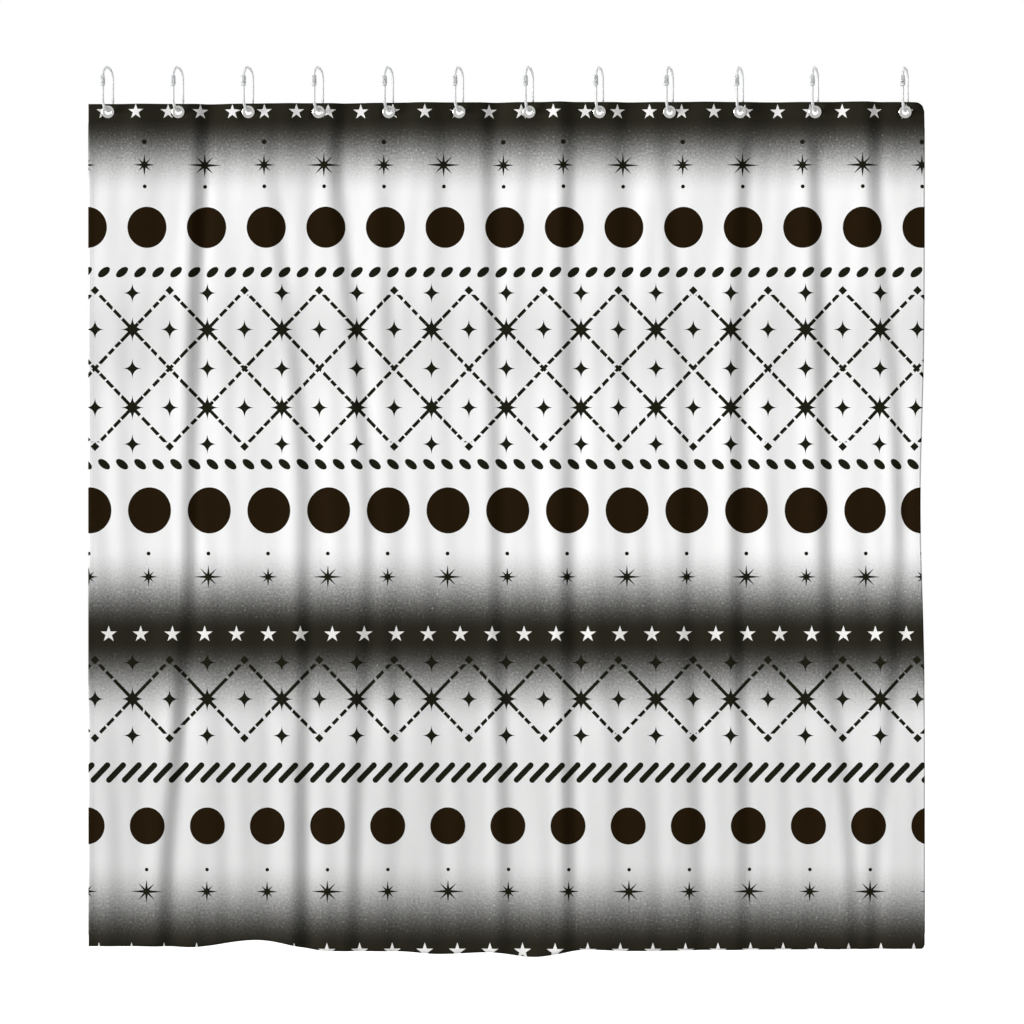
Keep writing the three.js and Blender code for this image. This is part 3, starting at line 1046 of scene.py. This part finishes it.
def arm_mesh():
    bm = bmesh.new()
    edges = tube_start(bm, RING_HALF, BEND_CENTRE)
    first = list(edges)
    edges = go_straight(bm, edges, ARCH_CENTRE - BEND_CENTRE, 24)
    edges = go_round(bm, edges, ARCH_CENTRE, math.pi)
    tip = CLASP_TOP - CLASP_HEIGHT + CLASP_FLOOR + TIP_GAP
    edges = go_straight(bm, edges, tip - ARCH_CENTRE, 4)
    close_end(bm, edges, 1 * MM)
    close_end(bm, first)
    bmesh.ops.recalc_face_normals(bm, faces=bm.faces[:])
    return bm


def snap_rings(plastic):
    for n, centre in zip(RINGS, EYELETS):
        stand = Matrix.Translation((centre.x, 0, 0)) @ Matrix.Rotation(RING_TURN, 4, "Z")
        hook, cup, arm = hook_mesh(), cup_mesh(), arm_mesh()
        for bm in (hook, cup, arm):
            bmesh.ops.transform(bm, matrix=stand, verts=bm.verts[:])
        hook = shown(f"hook_{n}_leg", hook, plastic)
        cup = shown(f"hook_{n}_clasp", cup, plastic)
        arm = shown(f"hook_{n}_spring_arm", arm, plastic)
        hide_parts(f"hook_{n}")
        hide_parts(f"hook_arm_{n}")
        for piece in (hook, cup):
            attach(piece, f"ring_{n}")
        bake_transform(arm)


# ---- The scene ----

def camera():
    data = bpy.data.cameras.new("camera")
    data.lens = 105.5
    data.sensor_width = 36
    data.clip_end = 50
    made = bpy.data.objects.new("camera", data)
    made.location = (0.0119, -6.5, -0.9385)
    made.rotation_euler = (math.radians(90), 0, 0)
    bpy.context.scene.collection.objects.link(made)
    bpy.context.scene.camera = made


def studio():
    bm = bmesh.new()
    bmesh.ops.create_grid(bm, x_segments=1, y_segments=1, size=12)
    bmesh.ops.translate(bm, verts=bm.verts[:], vec=(0, 0, PANEL_LOW.z - 0.12))
    pale = plain_material("pale_floor", "#f0f0ef", 0.9, grain=30, Emission_Color=(1, 1, 1, 1))
    # the floor's own glow only meets the eye, so that it joins the white behind it
    tree = pale.node_tree
    seen = add(tree, "ShaderNodeLightPath", {})
    glow = add(tree, MATH, {"operation": "MULTIPLY"}, seen, 0.55)
    shader = next(n for n in tree.nodes if n.type == "BSDF_PRINCIPLED")
    tree.links.new(glow, shader.inputs["Emission Strength"])
    shown("studio_floor", bm, pale)

    # white to the eye, and a third as strong as a light
    world = bpy.data.worlds.new("studio")
    world.use_nodes = True
    tree = world.node_tree
    back = tree.nodes["Background"]
    back.inputs[0].default_value = (1, 1, 1, 1)
    seen = add(tree, "ShaderNodeLightPath", {})
    mirrored = add(tree, MATH, {"operation": "MULTIPLY"}, seen.node.outputs["Is Glossy Ray"], 0.65)
    mirrored = add(tree, MATH, {"operation": "MAXIMUM"}, seen, mirrored)
    strength = add(tree, "ShaderNodeMapRange", {}, mirrored, 0, 1, 0.28, 1.0)
    tree.links.new(strength, back.inputs[1])
    bpy.context.scene.world = world

    # a key that grazes the printed face from the left, and a broad fill for the back
    for name, energy, angle, toward in (
        ("key", 4.5, 20, (0.88, 0.43, -0.20)),
        ("back_fill", 1.7, 60, (-0.55, -0.75, -0.37)),
    ):
        light = bpy.data.lights.new(name, "SUN")
        light.energy = energy
        light.angle = math.radians(angle)
        lamp = bpy.data.objects.new(name, light)
        lamp.rotation_euler = Vector(toward).to_track_quat("-Z", "Y").to_euler()
        bpy.context.scene.collection.objects.link(lamp)
    bpy.context.scene.view_settings.view_transform = "Standard"


camera()
studio()

printed = printed_polyester()
reverse = polyester_reverse()
sheet = panel(printed, reverse)
hem_pieces = hems(printed)
tape_piece = tape(bonded_tape())
thread_pieces = all_stitches(printed, reverse)
eyelets(nickel())
snap_rings(milky_plastic())
